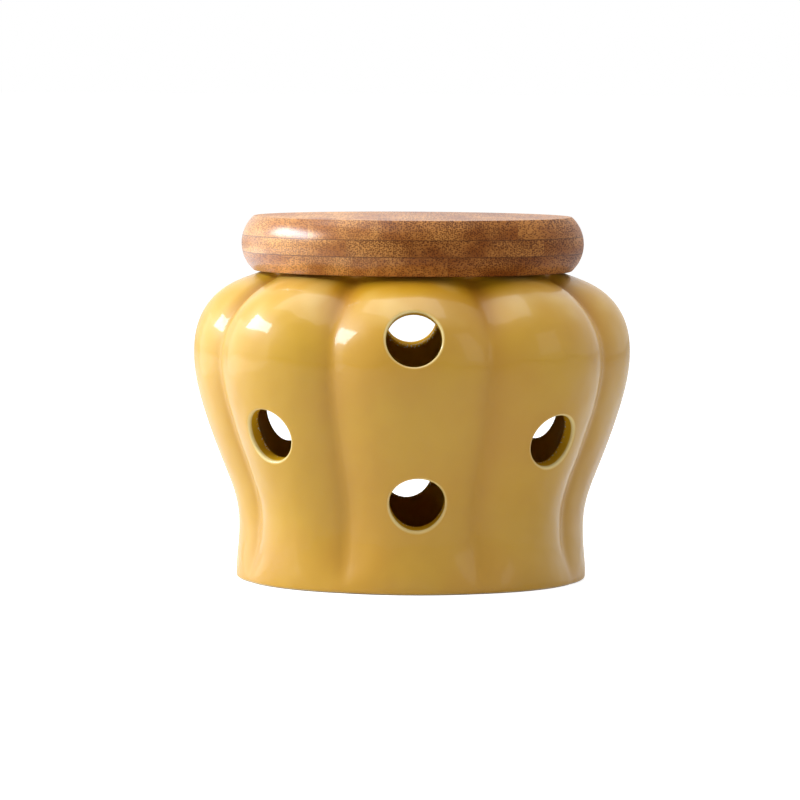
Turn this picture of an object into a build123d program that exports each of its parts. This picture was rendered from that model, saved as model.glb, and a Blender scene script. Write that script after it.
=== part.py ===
from build123d import *
import math
import os

# A vented garlic keeper: a slip-cast jar with eight lobes and two groups of vents,
# closed by a laminated bamboo lid whose plug carries a silicone seal ring.
#
# Frame: origin in the middle of the foot, on the table. +Z is up, the front is -Y.
# All sizes are in millimetres. Azimuths are in degrees from the front, towards +X.

# Jar, the line that a lobe's crest follows from the table up to the rim: each stretch rises
# so far, and each point stands so far outside the waist or inside the belly
FOOT_RISE = 3.0            # to the widest line of the foot
WAIST_RISE = 8.0           # to the narrowest line of the waist
SKIRT_RISE = 10.5          # to where the wall starts to lean out
LOW_FLANK_RISE = 13.5
HIGH_FLANK_RISE = 15.0
BELLY_RISE = 18.0          # to the widest line of the belly
SHOULDER_RISE = 11.7       # to where the shoulder begins
BROW_RISE = 7.8            # to the steep part of the shoulder
RIM_RISE = 6.0             # to the flat of the rim
WAIST_RADIUS = 52.65
FOOT_FLARE = 0.55
SKIRT_FLARE = 0.3
LOW_FLANK_FLARE = 4.75
HIGH_FLANK_FLARE = 10.15
BELLY_FLARE = 13.65
SHOULDER_SETBACK = 2.1
BROW_SETBACK = 8.4
RIM_SLOPE = 20.0           # degrees that the jar's top still falls at the rim

# Jar, the eight lobes
LOBE_COUNT = 8
VALLEY_RADIUS = 5.0        # rounding of the grooves at the belly, softer where they are shallow
FOOT_GROOVE = 0.5          # radial depth of the grooves at each named height
WAIST_GROOVE = 3.0
FLANK_GROOVE = 4.4
BELLY_GROOVE = 4.3
RIM_GROOVE = 0.6
GROOVE_END_RISE = 3.5      # height under the rim in which the grooves run out
GROOVE_END_REACH = 2.3     # where they start to, their floors are this far outside the rim
OUTER_SECTION_COUNT = 15   # cross-sections that carry the outer skin
INNER_SECTION_COUNT = 11   # cross-sections that carry the inner skin
CORNER_SECTION_COUNT = 4   # cross-sections that carry each rounded bottom edge

# Jar, wall, floor and mouth
WALL = 4.5
FLOOR_THICKNESS = 5.0
FLOOR_CORNER_RADIUS = 3.0
FOOT_RECESS = 1.5          # hollow under the floor, inside the foot ring
FOOT_RING_WIDTH = 5.0
FOOT_EDGE_RADIUS = 0.9
MOUTH_RADIUS = 41.0
RIM_LAND = 3.5             # width of the flat on which the lid rests
RIM_EDGE_RADIUS = 1.2

# Vents, cut by hand: azimuth, and height above or below the belly line
VENT_RADIUS = 8.2
VENT_EDGE_RADIUS = 0.9
TOP_VENT_AZIMUTH = 0.5
TOP_VENT_RISE = 8.5
LOW_VENT_AZIMUTH = 1.9
LOW_VENT_DROP = 41.2
LEFT_VENT_AZIMUTH = -44.0
LEFT_VENT_DROP = 22.0
RIGHT_VENT_AZIMUTH = 44.0
RIGHT_VENT_DROP = 23.2
VENT_GROUP_COUNT = 2       # the front group, and the same again at the back
DRILL_LENGTH = 6 * WALL

# Lid, a board of three bamboo plies turned round
LID_OVERHANG = 7.5         # lid outside the rim's flat
OUTER_PLY_THICKNESS = 5.75
CORE_PLY_THICKNESS = 5.0
LID_EDGE_BULGE = 3.7       # the rounded edge stands this far outside the board's flats
LID_EDGE_RADIUS = 0.5
OUTER_PLY_STRIP_COUNT = 5
CORE_PLY_STRIP_COUNT = 6
OUTER_PLY_EDGE_WIDTH = 21.0   # outermost strips at their widest, the others share the rest
CORE_PLY_EDGE_WIDTH = 13.0

# Plug under the lid, and the seal ring in its groove
PLUG_CLEARANCE = 2.0       # plug to mouth, all round
PLUG_DEPTH = 9.0
PLUG_EDGE_RADIUS = 0.8
PLUG_STRIP_COUNT = 4
PLUG_EDGE_WIDTH = 19.5     # outermost strips of the plug at their widest
SEAL_DROP = 2.6            # underside of the lid to the seal groove
SEAL_GROOVE_HEIGHT = 3.4
SEAL_GROOVE_DEPTH = 1.6
SEAL_CLEARANCE = 0.2       # seal to groove, all round
SEAL_MOUTH_GAP = 0.3       # seal lips to mouth
SEAL_LIP_THICKNESS = 0.9
SEAL_BAND_INSET = 1.2      # the seal's band stays this far inside its lips

# Derived heights and radii
FOOT_RADIUS = WAIST_RADIUS + FOOT_FLARE
BELLY_RADIUS = WAIST_RADIUS + BELLY_FLARE
RIM_RADIUS = MOUTH_RADIUS + RIM_LAND
WAIST_HEIGHT = FOOT_RISE + WAIST_RISE
SKIRT_HEIGHT = WAIST_HEIGHT + SKIRT_RISE
LOW_FLANK_HEIGHT = SKIRT_HEIGHT + LOW_FLANK_RISE
HIGH_FLANK_HEIGHT = LOW_FLANK_HEIGHT + HIGH_FLANK_RISE
BELLY_HEIGHT = HIGH_FLANK_HEIGHT + BELLY_RISE
SHOULDER_HEIGHT = BELLY_HEIGHT + SHOULDER_RISE
BROW_HEIGHT = SHOULDER_HEIGHT + BROW_RISE
JAR_HEIGHT = BROW_HEIGHT + RIM_RISE
FLOOR_HEIGHT = FOOT_RECESS + FLOOR_THICKNESS
LID_RADIUS = RIM_RADIUS + LID_OVERHANG
LID_THICKNESS = 2 * OUTER_PLY_THICKNESS + CORE_PLY_THICKNESS
PLUG_RADIUS = MOUTH_RADIUS - PLUG_CLEARANCE


def crest_line():
    """The outer profile over a lobe's crest, drawn in the XZ plane from the table up."""
    points = (
        (FOOT_RADIUS, 0, 0),
        (FOOT_RADIUS, 0, FOOT_RISE),
        (WAIST_RADIUS, 0, WAIST_HEIGHT),
        (WAIST_RADIUS + SKIRT_FLARE, 0, SKIRT_HEIGHT),
        (WAIST_RADIUS + LOW_FLANK_FLARE, 0, LOW_FLANK_HEIGHT),
        (WAIST_RADIUS + HIGH_FLANK_FLARE, 0, HIGH_FLANK_HEIGHT),
        (BELLY_RADIUS, 0, BELLY_HEIGHT),
        (BELLY_RADIUS - SHOULDER_SETBACK, 0, SHOULDER_HEIGHT),
        (BELLY_RADIUS - BROW_SETBACK, 0, BROW_HEIGHT),
        (RIM_RADIUS, 0, JAR_HEIGHT),
    )
    slope = math.radians(RIM_SLOPE)
    return Spline(*points, tangents=((0, 0, 1), (-math.cos(slope), 0, math.sin(slope))))


def groove_depth(line, height):
    """Radial depth of the grooves: smooth steps between the depths at the named heights."""
    end_height = JAR_HEIGHT - GROOVE_END_RISE
    end_crest = line.position_at(place_at_height(line, end_height, 0)).X
    marks = (
        (0, FOOT_GROOVE),
        (FOOT_RISE, FOOT_GROOVE),
        (WAIST_HEIGHT, WAIST_GROOVE),
        (LOW_FLANK_HEIGHT, FLANK_GROOVE),
        (BELLY_HEIGHT, BELLY_GROOVE),
        (end_height, end_crest - RIM_RADIUS - GROOVE_END_REACH),
        (JAR_HEIGHT, RIM_GROOVE),
    )
    for (low, depth_below), (high, depth_above) in zip(marks, marks[1:]):
        if height <= high:
            share = (height - low) / (high - low)
            return depth_below + (depth_above - depth_below) * share * share * (3 - 2 * share)
    return RIM_GROOVE


def lobed_face(crest, depth, valley, height):
    """A level cross-section: convex lobe arcs joined by concave valley arcs, all tangent."""
    half = math.pi / LOBE_COUNT
    reach = crest + valley
    valley_centre = reach - depth
    lobe_centre = (reach**2 - valley_centre**2) / (2 * (reach - valley_centre * math.cos(half)))
    groove = Vector(math.cos(half), math.sin(half))
    away = (groove * valley_centre - Vector(lobe_centre, 0)).normalized()
    joint = Vector(lobe_centre, 0) + away * (crest - lobe_centre)
    next_joint = joint.rotate(Axis.Z, math.degrees(2 * (half - math.atan2(joint.Y, joint.X))))
    lobe_arc = ThreePointArc((joint.X, -joint.Y), (crest, 0), joint)
    valley_arc = ThreePointArc(joint, groove * (crest - depth), next_joint)
    edges = []
    for lobe in range(LOBE_COUNT):
        turn = Rot(0, 0, 360 / LOBE_COUNT * lobe)
        edges += [turn * lobe_arc, turn * valley_arc]
    return Pos(0, 0, height) * make_face(edges)


def skin_point(line, place, set_in):
    """Crest radius and height part-way up the outer skin, or set in from it."""
    point = line.position_at(place)
    tangent = line.tangent_at(place)
    return point.X - set_in * tangent.Z, point.Z + set_in * tangent.X


def place_at_height(line, height, set_in):
    """Where along the crest line the outer skin, or the set-in one, reaches a height."""
    low = 0.0
    high = 1.0
    for halving in range(24):
        middle = (low + high) / 2
        if skin_point(line, middle, set_in)[1] < height:
            low = middle
        else:
            high = middle
    return middle


def level_section(line, place, set_in, shrink=0):
    """The skin's cross-section at a place on the crest line, drawn in by shrink."""
    crest, height = skin_point(line, place, set_in)
    depth = groove_depth(line, line.position_at(place).Z)
    valley = VALLEY_RADIUS * BELLY_GROOVE / depth
    return lobed_face(crest - shrink, depth, valley + set_in + shrink, height)


def skin_form(line, set_in, low, corner, section_count):
    """A solid with the outer skin, or the one set in from it, above a rounded bottom edge."""
    corner_sections = []
    for index in range(CORNER_SECTION_COUNT):
        turn = math.pi / 2 * index / (CORNER_SECTION_COUNT - 1)
        place = place_at_height(line, low + corner * (1 - math.cos(turn)), set_in)
        shrink = corner * (1 - math.sin(turn))
        corner_sections.append(level_section(line, place, set_in, shrink))

    start = place_at_height(line, low + corner, set_in)
    skin_sections = []
    for index in range(section_count):
        place = start + (1 - start) * index / (section_count - 1)
        skin_sections.append(level_section(line, place, set_in))
    return loft(corner_sections) + loft(skin_sections)


def vent_planes(line):
    """The plane of each vent, square to the wall where the vent goes through it."""
    vents = (
        (TOP_VENT_AZIMUTH, BELLY_HEIGHT + TOP_VENT_RISE),
        (LOW_VENT_AZIMUTH, BELLY_HEIGHT - LOW_VENT_DROP),
        (LEFT_VENT_AZIMUTH, BELLY_HEIGHT - LEFT_VENT_DROP),
        (RIGHT_VENT_AZIMUTH, BELLY_HEIGHT - RIGHT_VENT_DROP),
    )
    planes = []
    for azimuth, height in vents:
        place = place_at_height(line, height, 0)
        up = line.tangent_at(place)
        out = Vector(up.Z, 0, -up.X)
        plane = Plane(line.position_at(place), x_dir=up, z_dir=out)
        for group in range(VENT_GROUP_COUNT):
            turn = azimuth - 90 + 360 / VENT_GROUP_COUNT * group
            planes.append(Plane(Rot(0, 0, turn) * plane.location))
    return planes


def is_on_drill(edge, plane):
    """True for an edge that a vent's drill left on one of the jar's two skins."""
    if edge.geom_type == GeomType.LINE:
        return False
    for place in (0.1, 0.5, 0.9):
        spot = plane.to_local_coords(edge.position_at(place))
        off_round = abs(math.hypot(spot.X, spot.Y) - VENT_RADIUS) > VENT_RADIUS / 100
        if off_round or abs(spot.Z) > DRILL_LENGTH / 2:
            return False
    return True


def mouth_circles(jar):
    """The round edges of the mouth, from the lowest to the highest."""
    circles = jar.edges().filter_by(GeomType.CIRCLE).sort_by(Axis.Z)
    return circles.filter_by(lambda edge: edge.center().Z > JAR_HEIGHT - 2 * WALL)


def build_jar():
    """The slip-cast jar: lobed outside, hollow inside, with rim, vents and foot ring."""
    line = crest_line()
    bore = Pos(0, 0, JAR_HEIGHT) * Cylinder(MOUTH_RADIUS, 3 * WALL)
    body = skin_form(line, 0, 0, FOOT_EDGE_RADIUS, OUTER_SECTION_COUNT)
    hollow = skin_form(line, WALL, FLOOR_HEIGHT, FLOOR_CORNER_RADIUS, INNER_SECTION_COUNT)
    jar = body - hollow - bore

    recess_radius = FOOT_RADIUS - FOOT_RING_WIDTH
    jar -= Cylinder(recess_radius, FOOT_RECESS, align=(Align.CENTER, Align.CENTER, Align.MIN))

    jar = fillet(mouth_circles(jar)[-1], RIM_EDGE_RADIUS)
    ledge = RIM_LAND - RIM_GROOVE - WALL * math.sin(math.radians(RIM_SLOPE))
    jar = fillet(mouth_circles(jar)[0], min(RIM_EDGE_RADIUS, ledge / 2))

    planes = vent_planes(line)
    for plane in planes:
        jar -= plane * Cylinder(VENT_RADIUS, DRILL_LENGTH)
    vent_edges = [edge for edge in jar.edges() if any(is_on_drill(edge, p) for p in planes)]
    return fillet(vent_edges, VENT_EDGE_RADIUS)


def build_lid_blank():
    """The turned board before it is read as strips: flat faces and a round edge."""
    middle = JAR_HEIGHT + LID_THICKNESS / 2
    flat_radius = LID_RADIUS - LID_EDGE_BULGE
    bottom_corner = (flat_radius, 0, JAR_HEIGHT)
    top_corner = (flat_radius, 0, JAR_HEIGHT + LID_THICKNESS)
    profile = make_face(
        [
            Line((0, 0, JAR_HEIGHT), bottom_corner),
            ThreePointArc(bottom_corner, (LID_RADIUS, 0, middle), top_corner),
            Line(top_corner, (0, 0, JAR_HEIGHT + LID_THICKNESS)),
            Line((0, 0, JAR_HEIGHT + LID_THICKNESS), (0, 0, JAR_HEIGHT)),
        ]
    )
    blank = revolve(profile, Axis.Z)
    return fillet(blank.edges().filter_by(GeomType.CIRCLE), LID_EDGE_RADIUS)


def build_plug_blank():
    """The disc under the lid that enters the mouth, with its seal groove."""
    top_down = (Align.CENTER, Align.CENTER, Align.MAX)
    plug = Pos(0, 0, JAR_HEIGHT) * Cylinder(PLUG_RADIUS, PLUG_DEPTH, align=top_down)
    plug = fillet(plug.edges().group_by(Axis.Z)[0], PLUG_EDGE_RADIUS)
    groove_top = Pos(0, 0, JAR_HEIGHT - SEAL_DROP)
    groove = groove_top * Cylinder(PLUG_RADIUS + WALL, SEAL_GROOVE_HEIGHT, align=top_down)
    core_radius = PLUG_RADIUS - SEAL_GROOVE_DEPTH
    groove -= groove_top * Cylinder(core_radius, SEAL_GROOVE_HEIGHT, align=top_down)
    return plug - groove


def cut_strips(blank, radius, low, thickness, count, edge_width):
    """Saw a round blank into side-by-side strips that run front to back."""
    first_seam = edge_width - radius
    strip_width = -2 * first_seam / (count - 2)
    seams = [first_seam + strip_width * index for index in range(count - 1)]
    sides = [-2 * radius, *seams, 2 * radius]
    strips = []
    for left, right in zip(sides, sides[1:]):
        saw = Box(right - left, 4 * radius, thickness, align=(Align.MIN, Align.CENTER, Align.MIN))
        strips.append(blank & Pos(left, 0, low) * saw)
    return strips


def build_seal_ring():
    """A band that sits in the plug's groove, with two lips that wipe the mouth."""
    top = JAR_HEIGHT - SEAL_DROP - SEAL_CLEARANCE
    height = SEAL_GROOVE_HEIGHT - 2 * SEAL_CLEARANCE
    inner_radius = PLUG_RADIUS - SEAL_GROOVE_DEPTH + SEAL_CLEARANCE
    lip_radius = MOUTH_RADIUS - SEAL_MOUTH_GAP
    top_down = (Align.CENTER, Align.CENTER, Align.MAX)
    ring = Pos(0, 0, top) * Cylinder(lip_radius - SEAL_BAND_INSET, height, align=top_down)
    for lip_top in (top, top - height + SEAL_LIP_THICKNESS):
        ring += Pos(0, 0, lip_top) * Cylinder(lip_radius, SEAL_LIP_THICKNESS, align=top_down)
    return ring - Pos(0, 0, top) * Cylinder(inner_radius, height, align=top_down)


def build_parts():
    """Every separate piece, by node name."""
    parts = {"jar": build_jar(), "seal_ring": build_seal_ring()}
    lid = build_lid_blank()
    plug = build_plug_blank()
    core_low = JAR_HEIGHT + OUTER_PLY_THICKNESS
    top_low = core_low + CORE_PLY_THICKNESS
    outer_ply = (OUTER_PLY_THICKNESS, OUTER_PLY_STRIP_COUNT, OUTER_PLY_EDGE_WIDTH)
    core_ply = (CORE_PLY_THICKNESS, CORE_PLY_STRIP_COUNT, CORE_PLY_EDGE_WIDTH)
    plug_ply = (PLUG_DEPTH, PLUG_STRIP_COUNT, PLUG_EDGE_WIDTH)
    plies = {
        "lid_top_strip": cut_strips(lid, LID_RADIUS, top_low, *outer_ply),
        "lid_core_strip": cut_strips(lid, LID_RADIUS, core_low, *core_ply),
        "lid_bottom_strip": cut_strips(lid, LID_RADIUS, JAR_HEIGHT, *outer_ply),
        "lid_plug_strip": cut_strips(plug, PLUG_RADIUS, JAR_HEIGHT - PLUG_DEPTH, *plug_ply),
    }
    for name, strips in plies.items():
        for number, strip in enumerate(strips, start=1):
            parts[f"{name}_{number}"] = strip
    return parts


os.makedirs("parts", exist_ok=True)
for node, solid in build_parts().items():
    export_step(solid, f"parts/{node}.step")
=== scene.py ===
import math
from functools import partialmethod

import bmesh
import bpy
import numpy as np
from bpy.props import FloatProperty, FloatVectorProperty, IntProperty, PointerProperty
from mathutils import Matrix, Vector


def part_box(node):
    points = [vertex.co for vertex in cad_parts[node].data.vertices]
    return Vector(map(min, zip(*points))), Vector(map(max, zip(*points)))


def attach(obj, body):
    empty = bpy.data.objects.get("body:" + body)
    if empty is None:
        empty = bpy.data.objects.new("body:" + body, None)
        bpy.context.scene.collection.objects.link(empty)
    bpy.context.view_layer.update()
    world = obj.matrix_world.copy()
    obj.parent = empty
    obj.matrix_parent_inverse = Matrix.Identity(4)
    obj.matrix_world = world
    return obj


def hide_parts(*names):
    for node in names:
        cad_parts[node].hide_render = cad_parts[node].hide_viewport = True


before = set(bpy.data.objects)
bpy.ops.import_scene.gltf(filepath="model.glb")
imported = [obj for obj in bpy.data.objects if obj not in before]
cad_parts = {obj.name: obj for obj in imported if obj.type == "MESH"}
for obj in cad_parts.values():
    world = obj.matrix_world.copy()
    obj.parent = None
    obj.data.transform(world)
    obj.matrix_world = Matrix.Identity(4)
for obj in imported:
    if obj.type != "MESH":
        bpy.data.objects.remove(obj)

bl_info = {
    "name": "Garlic keeper",
    "version": (1, 0, 0),
    "blender": (4, 5, 0),
    "location": "View3D > Sidebar > Garlic keeper",
    "description": "A vented, lobed jar of glazed stoneware with a laminated bamboo lid",
    "category": "Object",
}

# Shapes are worked out in millimetres and put into the meshes in metres. The foot stands on
# z = 0, the front is -Y, and an azimuth is measured from the front towards +X.
MM = 0.001

# The crest line of a lobe, from the table up to the rim
CREST_HEIGHTS = (0, 3, 11, 21.5, 35, 50, 68, 79.7, 87.5, 93.5)
CREST_RADII = (53.2, 53.2, 52.65, 52.95, 57.4, 62.8, 66.3, 64.2, 57.9, 44.5)
RIM_SLOPE = math.radians(20)

# How deep the grooves between the lobes lie under the crest, at each height
GROOVE_HEIGHTS = (0, 1.2, 3, 5, 8, 11, 16, 25, 35, 50, 62, 68, 74, 80, 84, 87, 89, 90.5, 91.5, 92.4,
                  93.0, 93.5)
GROOVE_DEPTHS = (0.5, 0.56, 1.05, 1.6, 2.31, 2.75, 3.17, 3.89, 4.4, 4.36, 4.28, 4.3, 4.81, 5.89,
                 6.67, 7.03, 6.92, 6.35, 5.28, 3.58, 2.05, 0.6)
BELLY_GROOVE = 4.3
LOBE_COUNT = 8
HALF_LOBE = math.pi / LOBE_COUNT

# Azimuth in degrees and height of each vent's middle. The back group is the same, half a turn on.
VENTS = ((0.5, 76.5), (1.9, 26.8), (-44.0, 46.0), (44.0, 44.8))
VENT_GROUPS = 2
PATCH_REACH = 12.5         # the net is cut away this far round a vent's middle

# The jar's floor, foot, rim and mouth
FLOOR_HEIGHT = 6.5
FLOOR_CORNER = 3.0
FLOOR_CIRCLE = 38.0        # the inner floor's net is round from here inwards
FOOT_RECESS = 1.5
RECESS_RADIUS = 48.2
RECESS_EDGE = 0.6
FOOT_RING_EDGE = 0.5
FOOT_EDGE = 0.9
RIM_HEIGHT = 93.5
RIM_EDGE = 1.2
MOUTH_RADIUS = 41.0
LIP_EDGE = 0.7
# The radii of the net's circles under the foot and on the floor, the shares of a lobed section
# in the rows that lead from a circle to it, and any section at all for a plain circle's row
FLAT_RADII = (5, 12, 20, 28, 36)
JOIN_SHARES = np.array((0.3, 0.6, 0.85))
RIM_SHARES = np.array((0.7, 0.4, 0.15))
UNUSED_SECTION = (50.0, 4.0, 5.0)

# The waves of the uneven wall: how many, and their pitch in radians per millimetre of height
WAVE_COUNT = 8
WAVE_PITCHES = (0.05, 0.13)

# The glaze pools within this distance of a groove's bottom, fully so where it is this deep, and
# the pools carry painted shade. The pools and their painted shade gain between the first two
# heights, under the lid, and between the other two the shoulder takes the pale colour of thin
# glaze as painted light.
POOL_AND_SHADE_WIDTH = 4.0
FLANK_GROOVE = 4.4
POOL_AND_SHADE_HEIGHTS = (74, 88)
LIT_SHOULDER_HEIGHTS = (70, 84)

# The lid's board
LID_LOW = 93.5
LID_HIGH = 110.0
PLY_SEAMS = (99.25, 104.25)
LID_RADIUS = 52.0
LID_BULGE = 3.7
LID_EDGE = 0.6
# How light each strip is, from the left, between 0 and 1: partly the strips' own tone, partly
# painted light from the left, which makes the left strips lighter. The plug's strips are all alike.
STRIP_TONES_AND_LEFT_LIGHT = {
    "lid_top": (1.0, 0.84, 0.52, 0.4, 0.42),
    "lid_core": (1.0, 0.9, 0.58, 0.3, 0.34, 0.48),
    "lid_bottom": (0.96, 0.9, 0.6, 0.36, 0.38),
}
PLUG_TONE = 0.7
OWN_TONE = 0.4             # the rest of a strip's tone blends into its neighbours'
STRIP_POINTS = 48          # along each side of a strip's outline
UNCUT = 1000.0             # a cut so far out that the board's own edge stays
CREASE = math.radians(35)
# The bamboo's patterns: how they are drawn out along Y and shifted from strip to strip. Then,
# in metres, how far the fibres sway, where the strips' knuckles lie and how wavy they are, and
# from where to where a knuckle or a glue line fades out.
FIBRE_DRAW = (0.7, 0.018, 1.15)
CLOUD_DRAW = (1.0, 0.25, 1.6)
GRAIN_SHIFT = (0.731, 1.37, 0.417)
FIBRE_SWAY = (0.0014, 0.0, 0.0012)
KNUCKLE_FIRST, KNUCKLE_REACH, GOLDEN_SHARE = -0.02, 0.05, 0.618
KNUCKLE_WAVE = 0.004
KNUCKLE_LINE = (0.0001, 0.0005)
KNUCKLE_BAND = (0.0004, 0.003)
STRIP_GLUE = (0.00004, 0.00014)
PLY_GLUE = (0.00006, 0.0002)
# Red, green and blue of the darkest and of the lightest strip, against the plain colour. The
# lightest strips, at the left, carry painted light.
TONE_GAINS = ((0.52, 1.36), (0.39, 1.57), (0.3, 1.65))

# The plug under the lid, the groove round it and the seal in that groove
PLUG_LOW = 84.5
PLUG_RADIUS = 39.0
PLUG_EDGE = 0.8
PLUG_LEVELS = (86.4, 92.2)  # extra rows of the net below and above the seal's groove
SEAL_GROOVE = (87.5, 90.9)
SEAL_GROOVE_RADIUS = 37.4
SEAL_GROOVE_EDGE = 0.05
SEAL_HEIGHTS = (87.7, 90.7)
SEAL_INNER, SEAL_WEB, SEAL_OUTER = 37.6, 39.5, 40.7
SEAL_LIP = 0.42
SEAL_EDGE = 0.25
SEAL_COLUMNS = 160

# The stage, in metres, degrees for the lamps and radians for the camera. Each lamp has its
# azimuth, rise, distance, size and tint.
FLOOR_RADII = (0.2, 1.0, 3.0, 8.0, 20.0, 60.0)
FLOOR_COLUMNS = 96
FLOOR_DROP = 0.00005
FLOOR_SEEN, FLOOR_MIRRORED = 0.8, 0.3
LAMP_AIM = (0, 0, 0.06)
WHITE = (1.0, 1.0, 1.0)
LAMPS = {
    "overhead": (-60, 84, 1.3, (1.5, 1.3), WHITE),
    "card": (-100, 8, 0.34, (0.42, 0.2), WHITE),
    "window": (-93, 28, 1.15, (0.75, 0.28), (0.9, 1.0, 1.12)),
    "panel": (63, 18, 1.5, (0.6, 0.7), WHITE),
}
CAMERA_PLACE = (0, -1.374, 0.150)
CAMERA_PITCH, CAMERA_YAW, CAMERA_ROLL = 0.0698, -0.0026, 0.0059
CAMERA_LENS = 203.4
SENSOR_WIDTH = 36.0


def srgb(red, green, blue):
    """A colour as written on screen, turned into the linear numbers that shading uses."""
    parts = (red / 255, green / 255, blue / 255)
    return tuple(((c + 0.055) / 1.055) ** 2.4 if c > 0.04045 else c / 12.92 for c in parts)


GLAZE_END = srgb(128, 98, 62)
GLUE = srgb(84, 46, 22)


# ---- Settings


LENGTH = {"subtype": "DISTANCE", "unit": "LENGTH"}
COLOUR = {"subtype": "COLOR", "size": 3, "min": 0, "max": 1}
SHARE = {"subtype": "FACTOR", "min": 0, "max": 1}
POWER = {"unit": "POWER", "min": 0, "max": 100}


class JarSettings(bpy.types.PropertyGroup):
    """The glazed jar."""

    wall: FloatProperty(
        name="Wall", description="Thickness of the cast wall",
        default=4.5 * MM, min=2 * MM, max=8 * MM, **LENGTH)
    valley_radius: FloatProperty(
        name="Groove rounding", description="Radius at the bottom of a groove, at the belly",
        default=5 * MM, min=2 * MM, max=12 * MM, **LENGTH)
    vent_radius: FloatProperty(
        name="Vent radius", description="Radius of each round vent",
        default=8.2 * MM, min=4 * MM, max=10 * MM, **LENGTH)
    vent_edge: FloatProperty(
        name="Vent edge", description="Rounding of a vent's edges",
        default=0.9 * MM, min=0.2 * MM, max=1.6 * MM, **LENGTH)
    unevenness: FloatProperty(
        name="Unevenness", description="How far the cast wall wanders from its true form",
        default=0.12 * MM, min=0, max=0.5 * MM, **LENGTH)
    columns: IntProperty(
        name="Columns per lobe", description="Fineness of the net round the jar",
        default=40, min=16, max=48)
    glaze: FloatVectorProperty(
        name="Glaze", description="Colour of the glaze on the open wall",
        default=srgb(205, 154, 24), **COLOUR)
    # Also painted shade: this darker colour stands in for the shade in the grooves under the lid.
    pooled: FloatVectorProperty(
        name="Pooled glaze and painted shade", description="Colour where the glaze lies thick, in the grooves",
        default=srgb(176, 120, 18), **COLOUR)
    # Also painted light: this pale colour stands in for the highlight on the vents' rims and the
    # light on the upper shoulder.
    thin: FloatVectorProperty(
        name="Thin glaze and painted light", description="Colour where the glaze draws off an edge",
        default=srgb(255, 232, 158), **COLOUR)
    clay: FloatVectorProperty(
        name="Clay", description="Colour of the bare body under the foot",
        default=srgb(222, 208, 184), **COLOUR)
    roughness: FloatProperty(
        name="Haze roughness", description="Blur of the broad sheen in the glaze",
        default=0.42, **SHARE)
    polish: FloatProperty(
        name="Polish", description="Strength of the clear reflections over the sheen",
        default=0.46, **SHARE)


class BambooSettings(bpy.types.PropertyGroup):
    """The lid's laminated bamboo."""

    light: FloatVectorProperty(
        name="Ground", description="Colour of the soft ground between the fibres",
        default=srgb(212, 141, 72), **COLOUR)
    deep: FloatVectorProperty(
        name="Deep ground", description="Colour of the darker stretches of the ground",
        default=srgb(156, 88, 34), **COLOUR)
    fibre: FloatVectorProperty(
        name="Fibre", description="Colour of the fibre bundles",
        default=srgb(84, 36, 8), **COLOUR)
    bundle: FloatProperty(
        name="Bundle spacing", description="Distance between fibre bundles",
        default=0.44 * MM, min=0.3 * MM, max=2 * MM, **LENGTH)
    roughness: FloatProperty(
        name="Roughness", description="Blur of the reflections in the oiled wood",
        default=0.42, **SHARE)
    edge: FloatProperty(
        name="Strip edge", description="Tiny bevel along each strip's edges",
        default=0.03 * MM, min=0.01 * MM, max=0.3 * MM, **LENGTH)


class SealSettings(bpy.types.PropertyGroup):
    """The silicone ring under the lid."""

    colour: FloatVectorProperty(
        name="Silicone", description="Colour of the silicone",
        default=srgb(226, 224, 216), **COLOUR)


class StageSettings(bpy.types.PropertyGroup):
    """Floor, lamps and camera."""

    floor: FloatVectorProperty(
        name="Floor", description="Colour of the floor", default=(0.7, 0.7, 0.7), **COLOUR)
    room: FloatProperty(
        name="Room light", description="Strength of the even light from all round",
        default=0.3, min=0, max=2)
    overhead: FloatProperty(
        name="Overhead light", description="Power of the wide soft lamp overhead",
        default=14.4, **POWER)
    card: FloatProperty(
        name="Card light", description="Power of the low soft lamp close by at the left",
        default=0.28, **POWER)
    window: FloatProperty(
        name="Window light", description="Power of the small bright lamp at the left",
        default=12.0, **POWER)
    panel: FloatProperty(
        name="Panel light", description="Power of the weak lamp at the front right",
        default=1.1, **POWER)


# ---- Meshes


def put_mesh(name, points, faces, attributes=None):
    """Makes a smooth mesh object from points in millimetres, faces, and values on the points.

    Points that no face uses are left out. The faces are turned to point outwards.
    """
    used, places = np.unique(np.concatenate([f.ravel() for f in faces]), return_inverse=True)
    blocks = np.split(places, np.cumsum([f.size for f in faces])[:-1])
    lists = [row for block, f in zip(blocks, faces) for row in block.reshape(f.shape).tolist()]
    mesh = bpy.data.meshes.new(name)
    mesh.from_pydata((points[used] * MM).tolist(), [], lists)
    for key, values in (attributes or {}).items():
        layer = mesh.attributes.new(key, "FLOAT", "POINT")
        values = np.broadcast_to(np.asarray(values, np.float32), len(points))
        layer.data.foreach_set("value", values[used])
    net = bmesh.new()
    net.from_mesh(mesh)
    bmesh.ops.remove_doubles(net, verts=net.verts, dist=1e-7)
    bmesh.ops.recalc_face_normals(net, faces=net.faces)
    net.to_mesh(mesh)
    net.free()
    mesh.shade_smooth()
    piece = bpy.data.objects.new(name, mesh)
    bpy.context.scene.collection.objects.link(piece)
    return piece


def ring_faces(rings):
    """Four-sided faces between each closed ring of points and the next one."""
    return np.concatenate([
        np.stack((low, np.roll(low, -1), np.roll(high, -1), high), axis=1)
        for low, high in zip(rings, rings[1:])
    ])


def arc(centre_x, centre_y, radius, start, end, count):
    """Evenly spaced points on a circle from the start angle to the end angle, in degrees."""
    turn = np.radians(np.linspace(start, end, count))
    return np.stack((centre_x + radius * np.cos(turn), centre_y + radius * np.sin(turn)), axis=1)


def around(radius, azimuth, height):
    """Points at a distance from the axis, an azimuth and a height."""
    parts = (radius * np.sin(azimuth), -radius * np.cos(azimuth), height)
    return np.stack(np.broadcast_arrays(*parts), axis=-1)


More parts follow.
